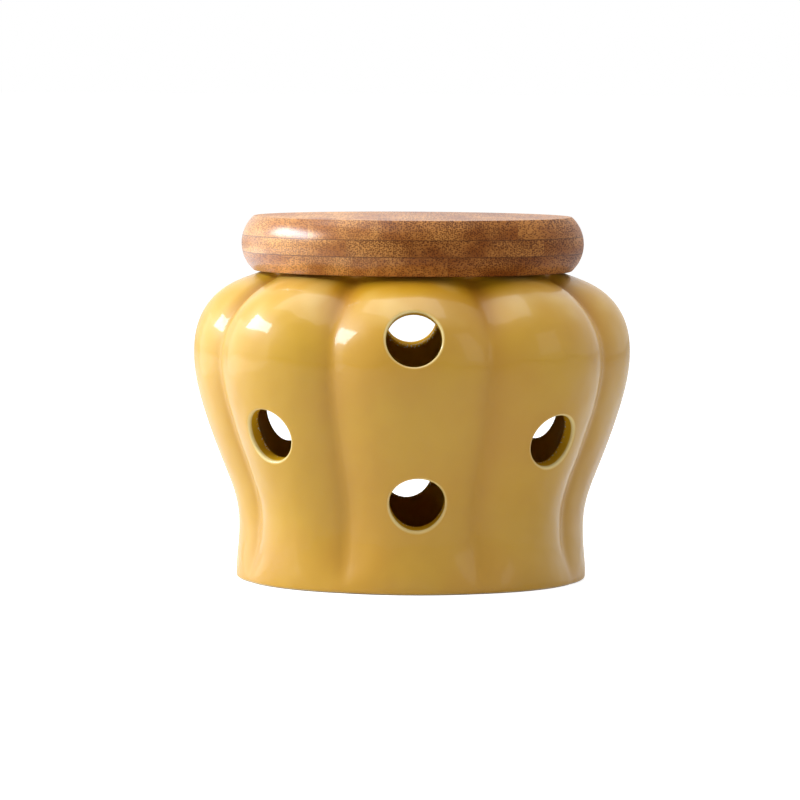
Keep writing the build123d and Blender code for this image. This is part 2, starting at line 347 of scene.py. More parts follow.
def shares_between(values, low, high):
    """How far each value is on its way from one limit to the other, between 0 and 1."""
    return np.clip((values - low) / (high - low), 0, 1)


def smooth(share):
    """A share between 0 and 1 with soft ends: three of its squares less two of its cubes."""
    return share**2 * (3 - 2 * share)


# ---- The jar's two skins


def spline_slopes(travel, points, first, last):
    """Slopes at the knots of the smooth cubic through the points, with given end slopes.

    At each inner knot the bend of the two neighbouring cubics is the same, which gives one
    line of a band matrix per knot.
    """
    count = len(travel)
    gap = np.diff(travel)
    matrix = np.eye(count)
    sides = np.zeros((count, 2))
    sides[0], sides[-1] = first, last
    inner = np.arange(1, count - 1)
    matrix[inner, inner - 1] = 1 / gap[:-1]
    matrix[inner, inner] = 2 / gap[:-1] + 2 / gap[1:]
    matrix[inner, inner + 1] = 1 / gap[1:]
    rise = np.diff(points, axis=0) / gap[:, None] ** 2
    sides[1:-1] = 3 * (rise[:-1] + rise[1:])
    return np.linalg.solve(matrix, sides)


CREST_POINTS = np.stack((CREST_RADII, CREST_HEIGHTS), axis=1).astype(float)
CREST_TRAVEL = np.concatenate(
    ([0], np.cumsum(np.linalg.norm(np.diff(CREST_POINTS, axis=0), axis=1)))
)
CREST_SLOPES = spline_slopes(
    CREST_TRAVEL, CREST_POINTS, (0, 1), (-math.cos(RIM_SLOPE), math.sin(RIM_SLOPE))
)


def hermite(marks, values, slopes, where):
    """Values and their rates of change on the cubics that join the values at the marks.

    Each cubic takes its ends' values and slopes. Outside the marks the end ones are carried on.
    """
    where = np.asarray(where, float)
    place = np.clip(np.searchsorted(marks, where, side="right") - 1, 0, len(marks) - 2)
    gap = (marks[place + 1] - marks[place])[..., None]
    t = (where - marks[place])[..., None] / gap
    rise, fall = slopes[place] * gap, slopes[place + 1] * gap
    step = values[place + 1] - values[place]
    square, cube = 3 * step - 2 * rise - fall, rise + fall - 2 * step
    point = values[place] + t * rise + t**2 * square + t**3 * cube
    return point, rise + 2 * t * square + 3 * t**2 * cube


def crest_line(travel):
    """Point and unit direction of the crest line."""
    point, slope = hermite(CREST_TRAVEL, CREST_POINTS, CREST_SLOPES, travel)
    return point, slope / np.linalg.norm(slope, axis=-1, keepdims=True)


def groove_depth(height):
    """Depth of the grooves at a height, with the slope of the neighbours' chord at each mark."""
    marks = np.array(GROOVE_HEIGHTS, float)
    slopes = np.gradient(GROOVE_DEPTHS, marks)[:, None]
    level = np.clip(height, marks[0], marks[-1])
    return hermite(marks, np.array(GROOVE_DEPTHS)[:, None], slopes, level)[0][..., 0]


def lobed_radius(azimuth, crest, depth, valley):
    """Distance from the axis to a level section of eight lobes.

    The section is a chain of tangent circle arcs: convex lobe arcs that touch the crest, and
    concave valley arcs, of the given radius, that touch the groove's bottom. Each distance is
    the far cut of the ray with the lobe's circle, or the near cut with the valley's.
    """
    off_crest = np.abs((azimuth + HALF_LOBE) % (2 * HALF_LOBE) - HALF_LOBE)
    reach = crest + valley
    valley_centre = reach - depth
    lobe_centre = (reach**2 - valley_centre**2) / (
        2 * (reach - valley_centre * math.cos(HALF_LOBE))
    )
    lobe_round = crest - lobe_centre
    across = valley_centre * math.cos(HALF_LOBE) - lobe_centre
    aside = valley_centre * math.sin(HALF_LOBE)
    length = np.hypot(across, aside)
    joint = np.arctan2(aside / length * lobe_round, lobe_centre + across / length * lobe_round)
    under = lobe_round**2 - (lobe_centre * np.sin(off_crest)) ** 2
    lobe = lobe_centre * np.cos(off_crest) + np.sqrt(np.maximum(under, 0))
    off_groove = HALF_LOBE - off_crest
    under = valley**2 - (valley_centre * np.sin(off_groove)) ** 2
    hollow = valley_centre * np.cos(off_groove) - np.sqrt(np.maximum(under, 0))
    return np.where(off_crest <= joint, lobe, hollow)


def skin_section(travel, set_in, valley_radius, shrink=0.0):
    """Crest radius, groove depth, valley radius and height of the level section at a place.

    The inner skin is the crest line moved square to itself by the wall. Grooves round off
    more where they are shallow.
    """
    point, way = crest_line(travel)
    depth = groove_depth(point[..., 1])
    crest = point[..., 0] - set_in * way[..., 1] - shrink
    height = point[..., 1] + set_in * way[..., 0]
    valley = valley_radius * BELLY_GROOVE / depth + set_in + shrink
    return crest, depth, valley, height


def skin_points(azimuth, travel, set_in, valley_radius):
    """Points of the outer skin, or of the one set in from it, by azimuth and travel."""
    crest, depth, valley, height = skin_section(travel, set_in, valley_radius)
    radius = lobed_radius(azimuth, crest, depth, valley)
    return around(radius, azimuth, height)


def travel_at_height(height, set_in):
    """Where along the crest line a skin reaches a height, read off 4000 short steps."""
    travel = np.linspace(0, CREST_TRAVEL[-1], 4001)
    return np.interp(height, skin_section(travel, set_in, valley_radius=0.0)[3], travel)


class Vent:
    """One round vent, with its own frame: p to the right, q up the wall, h out of it."""

    def __init__(self, azimuth, height, valley_radius):
        self.azimuth, self.valley_radius = azimuth, valley_radius
        self.travel = travel_at_height(height, 0)
        (self.crest, level), (lean, climb) = crest_line(self.travel)
        self.middle = around(self.crest, azimuth, level)
        right = (math.cos(azimuth), math.sin(azimuth), 0)
        self.axes = np.array((right, around(lean, azimuth, climb), around(climb, azimuth, -lean)))

    def inside(self, points):
        """Points in the vent's own frame."""
        return (points - self.middle) @ self.axes.T

    def outside(self, points):
        """Points of the vent's own frame, back in the jar's."""
        return self.middle + points @ self.axes

    def height_of_skin(self, p, q, set_in):
        """How far out a skin lies at p and q: Newton's method on azimuth and travel."""
        def seen(azimuth, travel):
            return self.inside(skin_points(azimuth, travel, set_in, self.valley_radius))

        azimuth, travel = self.azimuth + p / self.crest, self.travel + q
        turn, climb = 1e-4, 1e-3
        for _ in range(8):
            here = seen(azimuth, travel)
            a, c = ((seen(azimuth + turn, travel) - here)[..., :2] / turn).T
            b, d = ((seen(azimuth, travel + climb) - here)[..., :2] / climb).T
            miss_p, miss_q = p - here[..., 0], q - here[..., 1]
            area = a * d - b * c
            azimuth = azimuth + (d * miss_p - b * miss_q) / area
            travel = travel + (a * miss_q - c * miss_p) / area
        return seen(azimuth, travel)[..., 2]


def wander(points, amount):
    """Moves the wall in and out by a few broad waves, fading out at the foot and the rim.

    A wave goes round the jar a whole number of times, and up it at a random pitch.
    """
    dice = np.random.default_rng(11)
    azimuth, height = np.arctan2(points[:, 0], -points[:, 1]), points[:, 2]
    waves = np.zeros(len(points))
    for turns in range(1, WAVE_COUNT + 1):
        pitch = dice.uniform(*WAVE_PITCHES)
        swing = np.cos(turns * azimuth + dice.uniform(0, 6.28))
        waves += swing * np.cos(pitch * height + dice.uniform(0, 6.28)) / (1 + 0.15 * turns)
    radius = np.hypot(points[:, 0], points[:, 1])
    fade = shares_between(height, 0, 12) * shares_between(height, 90, 80)
    fade = fade * shares_between(radius, 30, 40)
    moved = points.copy()
    moved[:, :2] *= (1 + amount * 0.5 * waves * fade / np.maximum(radius, 1))[:, None]
    return moved


def jar_rows(valley_radius, wall):
    """The rows of the jar's net: from under the foot, up the outside, over the rim, to the floor.

    Each row is level, and its radius is a blend of a circle and a lobed section. The columns
    are: circle radius, share of the lobed section, its crest, depth and valley, the height,
    how thin the glaze is there, and how bare the clay.
    """
    rows = []

    def add_circles(pairs, thin=0.0, bare=0.0):
        for radius, height in pairs:
            rows.append((radius, 0.0, *UNUSED_SECTION, height, thin, bare))

    def add_sections(travels, set_in, shrinks, thins=0.0, bares=0.0, shares=1.0, circle=0.0):
        travels = np.atleast_1d(travels)
        crest, depth, valley, height = skin_section(travels, set_in, valley_radius, shrinks)
        parts = (circle, shares, crest, depth, valley, height, thins, bares)
        rows.extend(zip(*(np.broadcast_to(part, travels.shape).tolist() for part in parts)))

    # The recess, the foot ring and the round edge outside it
    ring_inner = RECESS_RADIUS + FOOT_RING_EDGE
    add_circles([(radius, FOOT_RECESS) for radius in (*FLAT_RADII, 43)])
    add_circles(arc(RECESS_RADIUS - RECESS_EDGE, FOOT_RECESS - RECESS_EDGE, RECESS_EDGE, 90, 0, 5))
    add_circles(arc(ring_inner, FOOT_RING_EDGE, FOOT_RING_EDGE, 180, 270, 5), bare=1.0)
    turns = np.linspace(0, math.pi / 2, 7)
    edge = travel_at_height(FOOT_EDGE * (1 - np.cos(turns)), 0)
    add_sections([0, 0, 0], 0, FOOT_EDGE, bares=1.0, shares=JOIN_SHARES, circle=ring_inner)
    add_sections(edge, 0, FOOT_EDGE * (1 - np.sin(turns)), thins=np.sin(2 * turns) * 0.6,
                 bares=np.clip(1 - turns / 1.2, 0, 1))

    # The outer skin, the rim and the lip
    outer_start = len(rows)
    travels = np.linspace(edge[-1], CREST_TRAVEL[-1], 108)[1:]
    add_sections(travels, 0, 0, thins=np.clip((travels - travels[-1]) / 3 + 1, 0, 0.2))
    end = travels[-1]
    add_sections([end, end, end], 0, 0, shares=RIM_SHARES, thins=0.7,
                 circle=MOUTH_RADIUS + RIM_EDGE)
    add_circles(arc(MOUTH_RADIUS + RIM_EDGE, RIM_HEIGHT - RIM_EDGE, RIM_EDGE, 90, 180, 7), 0.9)
    lip = skin_section(end, wall, valley_radius)[3] + LIP_EDGE
    add_circles([(MOUTH_RADIUS, (RIM_HEIGHT - RIM_EDGE + lip) / 2)], 0.3)
    add_circles(arc(MOUTH_RADIUS + LIP_EDGE, lip, LIP_EDGE, 180, 270, 5), 0.6)
    add_sections(end, wall, 0, shares=0.5, circle=MOUTH_RADIUS + LIP_EDGE)

    # The inner skin, the floor's round corner and the floor
    inner_start = len(rows)
    corner = travel_at_height(FLOOR_HEIGHT + FLOOR_CORNER * (1 - np.cos(turns)), wall)
    inner = travels[travels > corner[-1] + 0.3][::-1]
    add_sections(inner, wall, 0)
    add_sections(corner[::-1], wall, FLOOR_CORNER * (1 - np.sin(turns[::-1])))
    add_sections([corner[0]] * 3, wall, FLOOR_CORNER, shares=JOIN_SHARES[::-1],
                 circle=FLOOR_CIRCLE)
    add_circles([(radius, FLOOR_HEIGHT) for radius in FLAT_RADII[::-1]])
    return np.array(rows), outer_start, travels, inner_start, len(inner)


def pierce(vent, loops, radius, edge, wall):
    """Rings of points from a patch's border outside, through the wall, to the one inside.

    On each skin the rings change from the border's outline to a circle. The circle then
    rounds over a quarter arc into the straight tunnel. How thin and how dull the glaze is on
    each point comes with them. The pale of the thin glaze on the rounded rim is partly a
    painted highlight.
    """
    turn = np.arctan2(loops[0][:, 1], loops[0][:, 0])
    steps = [(share, 0.0) for share in 1 - (1 - np.linspace(0, 1, 8)[1:]) ** 1.4]
    steps += [(1.0, lean) for lean in np.linspace(0, math.pi / 2, 7)[1:]]
    sides = []
    for set_in, border, sign in zip((0.0, wall), loops, (-1, 1)):
        rings = []
        for share, lean in steps:
            reach = share * (radius + edge * (1 - math.sin(lean)))
            p = (1 - share) * border[:, 0] + reach * np.cos(turn)
            q = (1 - share) * border[:, 1] + reach * np.sin(turn)
            level = vent.height_of_skin(p, q, set_in) + sign * edge * (1 - math.cos(lean))
            rings.append(np.stack((p, q, level), axis=-1))
        sides.append(rings)
    outer, inner = sides[0], sides[1][::-1]
    tunnel = [outer[-1] + (inner[0] - outer[-1]) * (0, 0, share) for share in (0.25, 0.5, 0.75)]
    # Painted highlight: the rounded rim takes the pale colour of thin glaze, most where it turns
    # into the tunnel.
    thins = [0.4 + 0.5 * math.sin(lean) if lean else max(0.0, share - 0.85) * 2
             for share, lean in steps]
    thins += [0.1] * len(tunnel) + [0.3 * thin for thin in thins[::-1]]
    rounded = sum(lean > 0 for _, lean in steps)
    chips = [0.0] * len(outer) + [0.15, 0.2, 0.4]
    chips += [0.7] * (rounded + 1) + [0.2] * (len(inner) - rounded - 1)
    rings = np.array(outer + tunnel + inner)
    return vent.outside(rings), *(np.repeat(v, len(turn)) for v in (thins, chips))


def glaze_pools_and_shade(points):
    """How thick the glaze lies, with painted shade: a bell curve across each groove, stronger under
    the rim, in the lid's shade.
    """
    azimuth = np.arctan2(points[:, 0], -points[:, 1])
    off_crest = np.abs((azimuth + HALF_LOBE) % (2 * HALF_LOBE) - HALF_LOBE)
    away = (HALF_LOBE - off_crest) * np.hypot(points[:, 0], points[:, 1])
    deep = shares_between(points[:, 2], *POOL_AND_SHADE_HEIGHTS)
    groove = np.clip(groove_depth(points[:, 2]) / FLANK_GROOVE, 0, 1)
    bell = np.exp(-((away / POOL_AND_SHADE_WIDTH) ** 2))
    return bell * (0.35 + 0.65 * smooth(deep)) * np.maximum(groove, deep)


def jar_net(jar):
    """All points, faces and glaze values of the jar, as arrays."""
    wall, valley = jar.wall / MM, jar.valley_radius / MM
    rows, outer_start, travels, inner_start, inner_count = jar_rows(valley, wall)
    # The columns of a lobe stand closer together towards its grooves
    step = np.linspace(-1, 1, jar.columns + 1)[:-1]
    lobe = HALF_LOBE * (1.2 * step - 0.2 * step**3)
    azimuths = np.concatenate([lobe + 2 * HALF_LOBE * number for number in range(LOBE_COUNT)])
    columns = len(azimuths)
    circle, share, crest, depth, hollow, height, thin, bare = rows.T[:, :, None]
    lobed = lobed_radius(azimuths[None, :], crest, depth, hollow)
    radius = (1 - share) * circle + share * lobed
    points = around(radius, azimuths, height).reshape(-1, 3)
    numbers = np.arange(len(points)).reshape(radius.shape)
    keep = np.ones((len(rows) - 1, columns), bool)

    # Each block of new points comes with how thin the glaze is on them, with painted highlight on
    # the vents' rims, and how dull it is
    dull = np.where(np.arange(len(rows)) < inner_start, 0.0, 0.2)
    blocks = [(points, np.repeat(thin, columns), np.repeat(dull, columns))]
    faces, total = [], len(points)
    for group in range(VENT_GROUPS):
        for azimuth, middle in VENTS:
            turn = math.radians(azimuth) + 2 * math.pi * group / VENT_GROUPS
            vent = Vent(turn, middle, valley)
            off = (azimuths - turn + math.pi) % (2 * math.pi) - math.pi
            near = np.flatnonzero(np.abs(off) * vent.crest < PATCH_REACH)
            near = near[np.argsort(off[near])]
            span = np.flatnonzero(np.abs(travels - vent.travel) < PATCH_REACH)
            inner_rows = inner_start + len(travels) - 1 - span
            if inner_rows.max() >= inner_start + inner_count:
                raise RuntimeError("a vent reaches below the inner wall")
            loops = []
            for net_rows in (outer_start + span, inner_rows):
                patch = numbers[net_rows][:, near]
                loops.append(np.concatenate(
                    (patch[0], patch[1:, -1], patch[-1, -2::-1], patch[-2:0:-1, 0])
                ))
                keep[np.ix_(np.sort(net_rows)[:-1], near[:-1])] = False
            borders = [vent.inside(points[loop]) for loop in loops]
            new, *glaze = pierce(vent, borders, jar.vent_radius / MM, jar.vent_edge / MM, wall)
            rings = total + np.arange(new[..., 0].size).reshape(new.shape[:2])
            faces.append(ring_faces([loops[0], *rings, loops[1]]))
            blocks.append((new.reshape(-1, 3), *glaze))
            total += rings.size

    corners = (numbers[:-1], np.roll(numbers[:-1], -1, axis=1),
               np.roll(numbers[1:], -1, axis=1), numbers[1:])
    faces.append(np.stack([corner[keep] for corner in corners], axis=1))
    blocks.append((np.array(((0, 0, FOOT_RECESS), (0, 0, FLOOR_HEIGHT))), (0, 0), (0, 0)))
    for pole, ring in ((total, numbers[0]), (total + 1, numbers[-1])):
        faces.append(np.stack((np.full(columns, pole), np.roll(ring, -1), ring), axis=1))
    points, thins, chips = map(np.concatenate, zip(*blocks))
    bares = np.zeros(len(points))
    bares[:numbers.size] = np.repeat(bare, columns)

    # Glaze pools with painted shade in the grooves, most under the lid
    pools_and_shade = glaze_pools_and_shade(points)
    # Painted light: the upper shoulder takes the pale colour of thin glaze, except in the pools.
    high = shares_between(points[:, 2], *LIT_SHOULDER_HEIGHTS)
    thins = np.maximum(thins, 0.4 * smooth(high) * (1 - pools_and_shade))
    attributes = {"thin": thins, "chip": chips, "bare": bares, "pool": pools_and_shade}
    return wander(points, jar.unevenness / MM), faces, attributes


# ---- The lid and the seal


def lid_profile():
    """Radius and height up the board's rounded edge, from its bottom face to its top face.

    The edge is one wide arc, and a small arc blends it into each flat face: its middle lies
    inside the wide one by the small radius, and as far from the face.
    """
    middle, half = (LID_LOW + LID_HIGH) / 2, (LID_HIGH - LID_LOW) / 2
    wide = (half**2 + LID_BULGE**2) / (2 * LID_BULGE)
    centre = LID_RADIUS - wide
    lift = half - LID_EDGE
    small_centre = centre + math.sqrt((wide - LID_EDGE) ** 2 - lift**2)
    lean = math.degrees(math.atan2(lift, small_centre - centre))
    return np.concatenate((
        arc(small_centre, LID_LOW + LID_EDGE, LID_EDGE, -90, -lean, 6),
        arc(centre, middle, wide, -lean, lean, 45)[1:-1],
        arc(small_centre, LID_HIGH - LID_EDGE, LID_EDGE, lean, 90, 6),
    ))


def plug_profile():
    """Radius and height up the plug's side, with its rounded foot and the seal's groove."""
    (low, high), edge = SEAL_GROOVE, SEAL_GROOVE_EDGE
    bottom = SEAL_GROOVE_RADIUS
    return np.concatenate((
        arc(PLUG_RADIUS - PLUG_EDGE, PLUG_LOW + PLUG_EDGE, PLUG_EDGE, -90, 0, 6),
        [(PLUG_RADIUS, PLUG_LEVELS[0]), (PLUG_RADIUS, low - edge)],
        [(bottom + edge, low + edge), (bottom, (low + high) / 2), (bottom + edge, high - edge)],
        [(PLUG_RADIUS, high + edge), (PLUG_RADIUS, PLUG_LEVELS[1]), (PLUG_RADIUS, LID_LOW)],
    ))


def slice_profile(profile, low, high):
    """The stretch of a profile between two heights, with new points at the cuts."""
    radius, height = profile.T
    inner = profile[(height > low + 1e-6) & (height < high - 1e-6)]
    ends = [(np.interp(level, height, radius), level) for level in (low, high)]
    if low <= height[0] + 1e-6:
        ends[0] = tuple(profile[0])
    if high >= height[-1] - 1e-6:
        ends[1] = tuple(profile[-1])
    return np.array([ends[0], *inner, ends[1]])


def strip_net(profile, left, right):
    """Points and faces of one strip of a round board, between two straight cuts.

    At each level of the profile the outline is the circle's arc behind the middle line and
    the one before it, each from cut to cut. Faces join the levels, and cross bands close the
    ends.
    """
    radius, height = profile[:, :1], profile[:, 1:]
    start = np.arccos(np.clip(right / radius, -1, 1))
    end = np.arccos(np.clip(left / radius, -1, 1))
    share = (1 - np.cos(np.linspace(0, math.pi, STRIP_POINTS))) / 2
    turn = start + (end - start) * share
    turn = np.concatenate((turn, -turn[:, ::-1]), axis=1)
    x = np.clip(radius * np.cos(turn), left, right)
    points = np.stack(np.broadcast_arrays(x, radius * np.sin(turn), height), axis=-1)
    numbers = np.arange(turn.size).reshape(turn.shape)
    bands = []
    for ring in (numbers[0], numbers[-1]):
        back, front = ring[:STRIP_POINTS], ring[STRIP_POINTS:][::-1]
        bands.append(np.stack((back[:-1], back[1:], front[1:], front[:-1]), axis=1))
    return points.reshape(-1, 3), [ring_faces(numbers), *bands]


def strip_tone_and_left_light(node, across):
    """How light a strip is, partly painted light from the left, and the same blended smoothly
    across the board.
    """
    ply, number = node.split("_strip_")
    if ply not in STRIP_TONES_AND_LEFT_LIGHT:
        return PLUG_TONE, PLUG_TONE
    tones_and_left_light = STRIP_TONES_AND_LEFT_LIGHT[ply]
    middles = np.linspace(-1, 1, 2 * len(tones_and_left_light) + 1)[1::2] * LID_RADIUS
    return tones_and_left_light[int(number) - 1], np.interp(across, middles, tones_and_left_light)


def make_strip(node, profile, material, settings, dice):
    """Builds the strip that stands for a CAD node, between the node's own low and high corner."""
    low, high = (np.array(corner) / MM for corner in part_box(node))
    reach = profile[:, 0].max() - 1
    left = low[0] if low[0] > -reach else -UNCUT
    right = high[0] if high[0] < reach else UNCUT
    points, faces = strip_net(slice_profile(profile, low[2], high[2]), left, right)
    own, blended = strip_tone_and_left_light(node, points[:, 0])
    attributes = {
        "across": (points[:, 2] - low[2]) / (high[2] - low[2]),
        # The tone is partly painted light from the left.
        "tone": own * OWN_TONE + blended * (1 - OWN_TONE),
        "sheen": blended,
        "grain": dice.uniform(0, 1),
        "knuckle": KNUCKLE_FIRST + KNUCKLE_REACH * (int(node[-1]) * GOLDEN_SHARE % 1),
        "middle": (low[0] + high[0]) / 2 * MM,
        "half_width": (high[0] - low[0]) / 2 * MM,
    }
    piece = put_mesh(node + "_wood", points, faces, attributes)
    piece.data.materials.append(material)
    piece.data.set_sharp_from_angle(angle=CREASE)
    bevel = piece.modifiers.new("Worn edge", "BEVEL")
    bevel.width = settings.edge
    bevel.segments = 1
    bevel.limit_method = "ANGLE"
    bevel.angle_limit = CREASE
    even = piece.modifiers.new("Flat faces stay flat", "WEIGHTED_NORMAL")
    even.keep_sharp = True
    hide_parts(node)
    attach(piece, "lid")


def build_strips(starts, profile, material, settings, seed):
    """Builds every strip whose node's name starts so, in the order of the names."""
    dice = np.random.default_rng(seed)
    for node in sorted(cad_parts):
        if node.startswith(starts):
            make_strip(node, profile, material, settings, dice)


def seal_profile():
    """Radius and height round the seal's section: a band with two rounded lips."""
    lip = SEAL_OUTER - SEAL_LIP
    low, high = SEAL_HEIGHTS[0] + SEAL_LIP, SEAL_HEIGHTS[1] - SEAL_LIP
    web, inner, step = SEAL_WEB + SEAL_EDGE, SEAL_INNER + SEAL_EDGE, SEAL_LIP + SEAL_EDGE
    return np.concatenate((
        arc(lip, low, SEAL_LIP, -90, 90, 9),
        arc(web, low + step, SEAL_EDGE, -90, -180, 4),
        arc(web, high - step, SEAL_EDGE, 180, 90, 4),
        arc(lip, high, SEAL_LIP, -90, 90, 9),
        arc(inner, SEAL_HEIGHTS[1] - SEAL_EDGE, SEAL_EDGE, 90, 180, 4),
        arc(inner, SEAL_HEIGHTS[0] + SEAL_EDGE, SEAL_EDGE, 180, 270, 4),
    ))


# ---- Materials


class Shading:
    """Adds nodes to one tree. Each step gives back the socket that holds its result."""

    def __init__(self, tree):
        self.tree = tree

    def feed(self, node, values):
        """Fills a node's inputs: a value that is a socket is linked, any other is set."""
        for key, value in values.items():
            if isinstance(value, bpy.types.NodeSocket):
                self.tree.links.new(value, node.inputs[key])
            else:
                node.inputs[key].default_value = value

    def add(self, kind, values=None, **options):
        """A new node's outputs, with its options and inputs filled in."""
        node = self.tree.nodes.new("ShaderNode" + kind)
        for key, option in options.items():
            setattr(node, key, option)
        self.feed(node, values or {})
        return node.outputs

    def maths(self, operation, first, second=0.0):
        return self.add("Math", {0: first, 1: second}, operation=operation)[0]

    plus = partialmethod(maths, "ADD")
    minus = partialmethod(maths, "SUBTRACT")
    times = partialmethod(maths, "MULTIPLY")
    larger = partialmethod(maths, "MAXIMUM")
    unsigned = partialmethod(maths, "ABSOLUTE")

    def vector(self, operation, *values):
        return self.add("VectorMath", dict(enumerate(values)), operation=operation)[0]

    def split(self, vector):
        """The three numbers of a vector."""
        return self.add("SeparateXYZ", {0: vector})

    def remap(self, value, low, high, to_low=0.0, to_high=1.0, kind="SMOOTHSTEP"):
        """Stretches a value between two limits, with soft ends."""
        values = {"Value": value, "From Min": low, "From Max": high, "To Min": to_low,
                  "To Max": to_high}
        return self.add("MapRange", values, interpolation_type=kind)[0]

    def spread(self, value, to_low, to_high):
        """Stretches a value between 0 and 1 evenly."""
        return self.remap(value, 0.0, 1.0, to_low, to_high, kind="LINEAR")

    def mix(self, factor, first, second, mode="MIX"):
        """A colour between two others. Plain colours are given as three numbers."""
        values = {0: factor}
        for key, colour in ((6, first), (7, second)):
            linked = isinstance(colour, bpy.types.NodeSocket)
            values[key] = colour if linked else (*colour, 1.0)
        return self.add("Mix", values, data_type="RGBA", blend_type=mode, clamp_factor=True)[2]

    def rays(self):
        """1 on rays from the camera, and 1 on those that a mirror or glass sends on."""
        path = self.add("LightPath")
        return path["Is Camera Ray"], self.larger(path["Is Glossy Ray"],
                                                  path["Is Transmission Ray"])

    def mesh_value(self, name):
        """A value that the mesh carries at its points."""
        return self.add("Attribute", attribute_name=name)["Fac"]

    def place(self):
        """The point in the object's own space."""
        return self.add("TexCoord")["Object"]

    def noise(self, place, scale, detail):
        """A noise pattern: its value, and a colour of three unlike values."""
        return self.add("TexNoise", {"Vector": place, "Scale": scale, "Detail": detail})

    def bump(self, height, strength, distance):
        values = {"Height": height, "Strength": strength, "Distance": distance}
        return self.add("Bump", values)[0]


def new_group(name, inputs, outputs):
    """An empty node group that takes a place and named numbers, and gives named numbers.

    Gives back the group, its steps, its inputs' sockets and the node that takes its outputs.
    """
    group = bpy.data.node_groups.new(name, "ShaderNodeTree")
    group.interface.new_socket("Place", in_out="INPUT", socket_type="NodeSocketVector")
    for label, default in inputs.items():
        socket = group.interface.new_socket(label, in_out="INPUT", socket_type="NodeSocketFloat")
        socket.default_value = default
    for label in outputs:
        group.interface.new_socket(label, in_out="OUTPUT", socket_type="NodeSocketFloat")
    given = group.nodes.new("NodeGroupInput").outputs
    return group, Shading(group), given, group.nodes.new("NodeGroupOutput")


def mottle_group():
    """Soft cloudy variation between 0 and 1, about 0.5, and a finer ripple for bumps."""
    group, nodes, given, result = new_group(
        "Soft mottle", {"Cloud size": 0.02, "Ripple size": 0.004}, ("Cloud", "Ripple"))
    for label, detail in (("Cloud", 3.0), ("Ripple", 1.0)):
        scale = nodes.maths("DIVIDE", 1.0, given[label + " size"])
        nodes.feed(result, {label: nodes.noise(given["Place"], scale, detail)[0]})
    return group


def fibre_group():
    """Bamboo's fibre bundles: round dots across the grain, long streaks along it (Y).

    A stretched cell pattern gives the bundles. They crowd towards the side of the strip that
    was the cane's outside, which is where Crowding is high.
    """
    group, nodes, given, result = new_group(
        "Bamboo fibres", {"Shift": 0.0, "Spacing": 0.0008, "Crowding": 0.5},
        ("Bundles", "Streaks", "Cloud"))
    shift = nodes.add("CombineXYZ", {
        axis: nodes.times(given["Shift"], step) for axis, step in enumerate(GRAIN_SHIFT)
    })
    moved = nodes.vector("ADD", given["Place"], shift[0])
    drawn = nodes.vector("MULTIPLY", moved, FIBRE_DRAW)
    sway = nodes.noise(moved, scale=55.0, detail=1.0)[1]
    cells = nodes.add("TexVoronoi", {
        "Vector": nodes.vector("MULTIPLY_ADD", sway, FIBRE_SWAY, drawn),
        "Scale": nodes.maths("DIVIDE", 1.0, given["Spacing"]), "Randomness": 0.7,
    })
    size = nodes.spread(given["Crowding"], 0.6, 0.72)
    clouds = nodes.vector("MULTIPLY", moved, CLOUD_DRAW)
    nodes.feed(result, {
        "Bundles": nodes.remap(cells["Distance"], nodes.times(size, 0.35), size, 1.0, 0.0),
        "Streaks": nodes.noise(drawn, scale=2600.0, detail=3.0)[0],
        "Cloud": nodes.noise(clouds, scale=90.0, detail=2.0)[0],
    })
    return group


def new_material(name):
    """An empty material, its steps and its Principled shader."""
    material = bpy.data.materials.new(name)
    material.use_nodes = True
    tree = material.node_tree
    return material, Shading(tree), tree.nodes["Principled BSDF"]


def mottled(nodes, place, cloud_size, ripple_size):
    """The cloud and the ripple of the soft mottle, at their sizes on this material."""
    values = {"Place": place, "Cloud size": cloud_size, "Ripple size": ripple_size}
    group = bpy.data.node_groups.get("Soft mottle") or mottle_group()
    return nodes.add("Group", values, node_tree=group)


def tinted(colour, gains):
    """A colour with each of its channels made stronger or weaker, up to full."""
    return tuple(min(1.0, channel * gain) for channel, gain in zip(colour, gains))


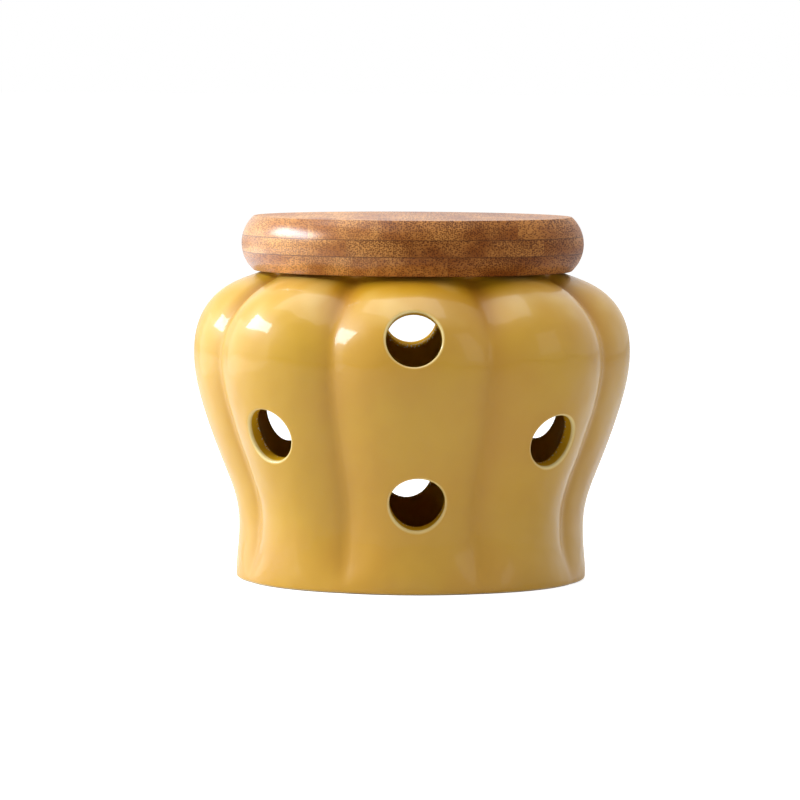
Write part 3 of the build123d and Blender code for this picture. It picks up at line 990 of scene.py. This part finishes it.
def glaze_material(jar):
    """Glossy yellow glaze: deeper in the grooves, with painted shade, thin at edges, with painted
    highlight on the vents' rims and painted light on the upper shoulder, bare clay under the foot.
    """
    material, nodes, shader = new_material("Yellow glaze")
    place = nodes.place()
    cloud, ripple = mottled(nodes, place, cloud_size=0.03, ripple_size=0.012)
    speck = nodes.noise(place, scale=1400.0, detail=2.0)[0]
    thin, chip, bare, pool = map(nodes.mesh_value, ("thin", "chip", "bare", "pool"))

    # Clouds in the open glaze, then pools with painted shade, then thin edges with painted
    # highlight and painted light
    colour = nodes.mix(nodes.remap(cloud, 0.3, 0.7), tinted(jar.glaze, (0.97, 0.92, 0.85)),
                       tinted(jar.glaze, (1.03, 1.06, 1.12)))
    # Painted shade: the pooled colour darkens the grooves, most under the lid.
    colour = nodes.mix(pool, colour, jar.pooled)
    # Painted highlight and painted light: the pale thin-glaze colour on the vents' rims and the
    # upper shoulder.
    drawn_off_and_lit = nodes.times(thin, nodes.remap(ripple, 0.25, 0.75, 0.7, 1.1))
    colour = nodes.mix(nodes.remap(drawn_off_and_lit, 0.25, 0.9, 0.0, 0.95), colour, jar.thin)

    # A brown line where the glaze ends, bare clay past it and where it has flaked off
    wobble = nodes.plus(bare, nodes.times(speck, 0.25))
    colour = nodes.mix(nodes.remap(wobble, 0.3, 0.6), colour, GLAZE_END)
    clay = nodes.remap(wobble, 0.62, 0.8)
    clay_colour = nodes.mix(speck, tinted(jar.clay, (0.88, 0.88, 0.88)), jar.clay)
    colour = nodes.mix(clay, colour, clay_colour)
    flake = nodes.times(chip, nodes.remap(speck, 0.5, 0.62))
    colour = nodes.mix(nodes.remap(flake, 0.45, 0.7), colour, clay_colour)

    # A clear coat over a hazy base, both gone on clay and on dull glaze
    matt = nodes.larger(clay, nodes.remap(chip, 0.0, 0.15))
    dull = nodes.larger(matt, nodes.times(pool, 0.8))
    height = nodes.plus(nodes.times(ripple, 1.0), nodes.times(nodes.times(speck, matt), 0.1))
    bump = nodes.bump(height, strength=0.6, distance=0.0009)
    nodes.feed(shader, {
        "Base Color": colour,
        "Roughness": nodes.plus(nodes.times(matt, 0.3), jar.roughness),
        "Normal": bump,
        "Coat Normal": bump,
        "Coat Weight": nodes.times(nodes.minus(1.0, dull), jar.polish),
        "Specular IOR Level": nodes.remap(chip, 0.0, 0.15, 0.42, 0.05),
        "Coat Roughness": 0.07,
    })
    return material


def bamboo_material(name, bamboo, gloss):
    """Oiled bamboo: pale ground, brown bundles, dark glue lines and the odd knuckle."""
    material, nodes, shader = new_material(name)
    place = nodes.place()
    x, y, z = nodes.split(place)
    _, facing_y, facing_z = nodes.split(nodes.add("NewGeometry")["Normal"])
    tone, across = nodes.mesh_value("tone"), nodes.mesh_value("across")
    bundles, streaks, cloud = nodes.add("Group", {
        "Place": place, "Shift": nodes.mesh_value("grain"), "Spacing": bamboo.bundle,
        "Crowding": across,
    }, node_tree=bpy.data.node_groups.get("Bamboo fibres") or fibre_group())

    # The ground, streaked, and the bundles, which show most on the end grain
    colour = nodes.mix(nodes.remap(cloud, 0.3, 0.7), bamboo.light, bamboo.deep)
    colour = nodes.mix(nodes.remap(streaks, 0.3, 0.7, 0.0, 0.35), colour, bamboo.deep)
    end_grain = nodes.remap(nodes.unsigned(facing_y), 0.05, 0.4, 0.55, 1.0)
    # Painted light: the bundles fade on the lightest strips, at the left.
    faint = nodes.times(end_grain, nodes.remap(tone, 0.5, 1.0, 1.0, 0.7))
    dots = nodes.times(bundles, nodes.times(nodes.spread(across, 0.85, 0.95), faint))
    colour = nodes.mix(dots, colour, bamboo.fibre)

    # The knuckle: a wavy dark line across the strip in a faint wider band
    off = nodes.unsigned(nodes.minus(y, nodes.mesh_value("knuckle")))
    off = nodes.plus(off, nodes.times(nodes.minus(cloud, 0.5), KNUCKLE_WAVE))
    knuckle = nodes.larger(nodes.remap(off, *KNUCKLE_LINE, 0.5, 0.0),
                           nodes.remap(off, *KNUCKLE_BAND, 0.18, 0.0))
    colour = nodes.mix(knuckle, colour, bamboo.fibre)

    # Glue lines beside each strip and at each ply, then the strip's own tone with painted light,
    # lighter towards the left
    side = nodes.unsigned(nodes.minus(x, nodes.mesh_value("middle")))
    side = nodes.minus(nodes.mesh_value("half_width"), side)
    seam = nodes.remap(side, *STRIP_GLUE, 0.25, 0.0)
    for level in (LID_LOW, *PLY_SEAMS):
        gap = nodes.unsigned(nodes.minus(z, level * MM))
        seam = nodes.larger(seam, nodes.remap(gap, *PLY_GLUE, 0.75, 0.0))
    colour = nodes.mix(seam, colour, GLUE)
    # Painted light: the strip's tone lightens and yellows the strips at the left.
    gains = [nodes.spread(tone, *ends) for ends in TONE_GAINS]
    bright = nodes.add("CombineColor", dict(enumerate(gains)))[0]
    colour = nodes.mix(1.0, colour, bright, mode="MULTIPLY")

    # The edge shines with the light strips. The flat face is rougher, under a thin sharp coat.
    flat = nodes.remap(nodes.unsigned(facing_z), 0.85, 1.0)
    rough = nodes.spread(flat, bamboo.roughness, 0.78)
    sheen = nodes.remap(nodes.mesh_value("sheen"), 0.45, 1.0, gloss * 0.1, gloss)
    sheen = nodes.times(sheen, nodes.minus(1.0, flat))
    height = nodes.minus(streaks, nodes.times(bundles, 0.6))
    nodes.feed(shader, {
        "Base Color": colour,
        "Roughness": nodes.plus(nodes.times(dots, 0.12), rough),
        "Normal": nodes.bump(height, strength=0.35, distance=0.00006),
        "Coat Weight": nodes.plus(sheen, nodes.times(flat, gloss * 0.4)),
        "Coat Roughness": nodes.remap(flat, 0.0, 1.0, 0.26, 0.12),
        "Specular IOR Level": nodes.remap(flat, 0.0, 1.0, 0.15, 0.4),
        "Specular Tint": (1.0, 0.6, 0.3, 1.0),
    })
    return material


def silicone_material(seal):
    """Milky silicone with a faint cloudiness."""
    material, nodes, shader = new_material("Milky silicone")
    cloud, ripple = mottled(nodes, nodes.place(), cloud_size=0.012, ripple_size=0.0008)
    nodes.feed(shader, {
        "Base Color": nodes.mix(cloud, tinted(seal.colour, (0.94, 0.94, 0.94)),
                                tinted(seal.colour, (1.06, 1.06, 1.06))),
        "Roughness": nodes.remap(ripple, 0.3, 0.7, 0.42, 0.52),
        "Normal": nodes.bump(ripple, strength=0.15, distance=0.0001),
        "Subsurface Weight": 0.15,
        "Subsurface Radius": (0.004, 0.003, 0.002),
        "Subsurface Scale": 0.5,
    })
    return material


def floor_material(stage):
    """Pale floor that keeps the object's shadow and is seen, but not lit, as white."""
    material, nodes, shader = new_material("Pale floor")
    nodes.feed(shader, {
        "Base Color": (*stage.floor, 1.0), "Roughness": 0.9, "Specular IOR Level": 0.0,
    })
    seen, mirrored = nodes.rays()
    strength = nodes.larger(nodes.times(seen, FLOOR_SEEN), nodes.times(mirrored, FLOOR_MIRRORED))
    lift = nodes.add("Emission", {"Color": (*WHITE, 1.0), "Strength": strength})
    total = nodes.add("AddShader", {0: shader.outputs[0], 1: lift[0]})
    nodes.feed(nodes.tree.nodes["Material Output"], {"Surface": total[0]})
    return material


# ---- Operators


class KEEPER_OT_jar(bpy.types.Operator):
    """Build the glazed jar in place of its CAD node"""

    bl_idname = "keeper.jar"
    bl_label = "Build the jar"

    def execute(self, context):
        jar = context.scene.keeper_jar
        points, faces, attributes = jar_net(jar)
        piece = put_mesh("jar_glazed", points, faces, attributes)
        piece.data.materials.append(glaze_material(jar))
        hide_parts("jar")
        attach(piece, "jar")
        return {"FINISHED"}


class KEEPER_OT_board(bpy.types.Operator):
    """Build the strips of the lid's three plies"""

    bl_idname = "keeper.board"
    bl_label = "Build the lid's board"

    def execute(self, context):
        settings = context.scene.keeper_bamboo
        material = bamboo_material("Oiled bamboo", settings, gloss=0.95)
        build_strips(tuple(STRIP_TONES_AND_LEFT_LIGHT), lid_profile(), material, settings, seed=5)
        return {"FINISHED"}


class KEEPER_OT_plug(bpy.types.Operator):
    """Build the strips of the plug under the lid"""

    bl_idname = "keeper.plug"
    bl_label = "Build the plug"

    def execute(self, context):
        settings = context.scene.keeper_bamboo
        material = bamboo_material("Plain bamboo", settings, gloss=0.0)
        build_strips("lid_plug_", plug_profile(), material, settings, seed=8)
        return {"FINISHED"}


class KEEPER_OT_seal(bpy.types.Operator):
    """Build the silicone ring in the plug's groove"""

    bl_idname = "keeper.seal"
    bl_label = "Build the seal"

    def execute(self, context):
        turn = np.linspace(0, 2 * math.pi, SEAL_COLUMNS + 1)[:-1, None]
        radius, height = seal_profile().T[:, None, :]
        points = around(radius, turn, height)
        numbers = np.arange(points[..., 0].size).reshape(points.shape[:2])
        faces = ring_faces([*numbers, numbers[0]])
        piece = put_mesh("seal_ring_silicone", points.reshape(-1, 3), [faces])
        piece.data.materials.append(silicone_material(context.scene.keeper_seal))
        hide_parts("seal_ring")
        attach(piece, "seal")
        return {"FINISHED"}


class KEEPER_OT_stage(bpy.types.Operator):
    """Set the floor, the lamps, the room light and the camera"""

    bl_idname = "keeper.stage"
    bl_label = "Set the stage"

    def execute(self, context):
        stage = context.scene.keeper_stage
        turn = np.linspace(0, 2 * math.pi, FLOOR_COLUMNS + 1)[:-1, None]
        points = around(np.array(FLOOR_RADII), turn, -FLOOR_DROP).reshape(-1, 3)
        rings = list(np.arange(len(points)).reshape(FLOOR_COLUMNS, -1).T)
        floor = put_mesh("floor", points / MM, [ring_faces(rings), np.array([rings[0]])])
        floor.data.materials.append(floor_material(stage))

        world = bpy.data.worlds.new("Studio")
        context.scene.world = world
        world.use_nodes = True
        nodes = Shading(world.node_tree)
        strength = nodes.spread(nodes.larger(*nodes.rays()), stage.room, 1.0)
        nodes.feed(world.node_tree.nodes["Background"],
                   {"Color": (*WHITE, 1.0), "Strength": strength})

        for name, place in LAMPS.items():
            self.add_lamp(name.capitalize(), *place, getattr(stage, name))
        self.add_camera(context)
        context.scene.view_settings.view_transform = "Standard"
        return {"FINISHED"}

    def add_lamp(self, name, azimuth, rise, distance, size, tint, power):
        """A soft rectangular lamp that looks at the jar's middle from an azimuth and a rise."""
        azimuth, rise = math.radians(azimuth), math.radians(rise)
        way = Vector(around(math.cos(rise), azimuth, math.sin(rise)))
        lamp = bpy.data.lights.new(name, "AREA")
        lamp.shape = "RECTANGLE"
        lamp.size, lamp.size_y = size
        lamp.energy = power
        lamp.color = tint
        holder = bpy.data.objects.new(name, lamp)
        bpy.context.scene.collection.objects.link(holder)
        holder.location = Vector(LAMP_AIM) + way * distance
        holder.rotation_mode = "QUATERNION"
        holder.rotation_quaternion = (-way).to_track_quat("-Z", "Y")
        holder.visible_camera = False

    def add_camera(self, context):
        """A long lens a little above the lid's height, turned slightly down."""
        lens = bpy.data.cameras.new("Camera")
        lens.lens, lens.sensor_width = CAMERA_LENS, SENSOR_WIDTH
        lens.clip_start, lens.clip_end = 0.05, 200.0
        camera = bpy.data.objects.new("Camera", lens)
        context.scene.collection.objects.link(camera)
        camera.matrix_world = (
            Matrix.Translation(CAMERA_PLACE) @ Matrix.Rotation(-CAMERA_YAW, 4, "Z")
            @ Matrix.Rotation(math.pi / 2 - CAMERA_PITCH, 4, "X")
            @ Matrix.Rotation(CAMERA_ROLL, 4, "Z")
        )
        context.scene.camera = camera


class KEEPER_PT_panel(bpy.types.Panel):
    """Settings and build steps of the garlic keeper"""

    bl_idname = "KEEPER_PT_panel"
    bl_label = "Garlic keeper"
    bl_space_type = "VIEW_3D"
    bl_region_type = "UI"
    bl_category = "Garlic keeper"

    def draw(self, context):
        for step, settings in STEPS:
            box = self.layout.box()
            box.operator(step)
            group = getattr(context.scene, settings)
            for key in group.bl_rna.properties.keys():
                if key not in ("rna_type", "name"):
                    box.prop(group, key)


STEPS = (
    ("keeper.jar", "keeper_jar"),
    ("keeper.board", "keeper_bamboo"),
    ("keeper.plug", "keeper_bamboo"),
    ("keeper.seal", "keeper_seal"),
    ("keeper.stage", "keeper_stage"),
)
GROUPS = {
    "keeper_jar": JarSettings,
    "keeper_bamboo": BambooSettings,
    "keeper_seal": SealSettings,
    "keeper_stage": StageSettings,
}
CLASSES = (
    KEEPER_OT_jar,
    KEEPER_OT_board,
    KEEPER_OT_plug,
    KEEPER_OT_seal,
    KEEPER_OT_stage,
    KEEPER_PT_panel,
)


def register():
    for name, group in GROUPS.items():
        bpy.utils.register_class(group)
        setattr(bpy.types.Scene, name, PointerProperty(type=group))
    for kind in CLASSES:
        bpy.utils.register_class(kind)


def unregister():
    for kind in reversed(CLASSES):
        bpy.utils.unregister_class(kind)
    for name, group in reversed(GROUPS.items()):
        delattr(bpy.types.Scene, name)
        bpy.utils.unregister_class(group)


def main():
    """Builds every piece and the stage."""
    register()
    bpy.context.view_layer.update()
    bpy.ops.keeper.jar()
    bpy.ops.keeper.board()
    bpy.ops.keeper.plug()
    bpy.ops.keeper.seal()
    bpy.ops.keeper.stage()


if __name__ == "__main__":
    main()
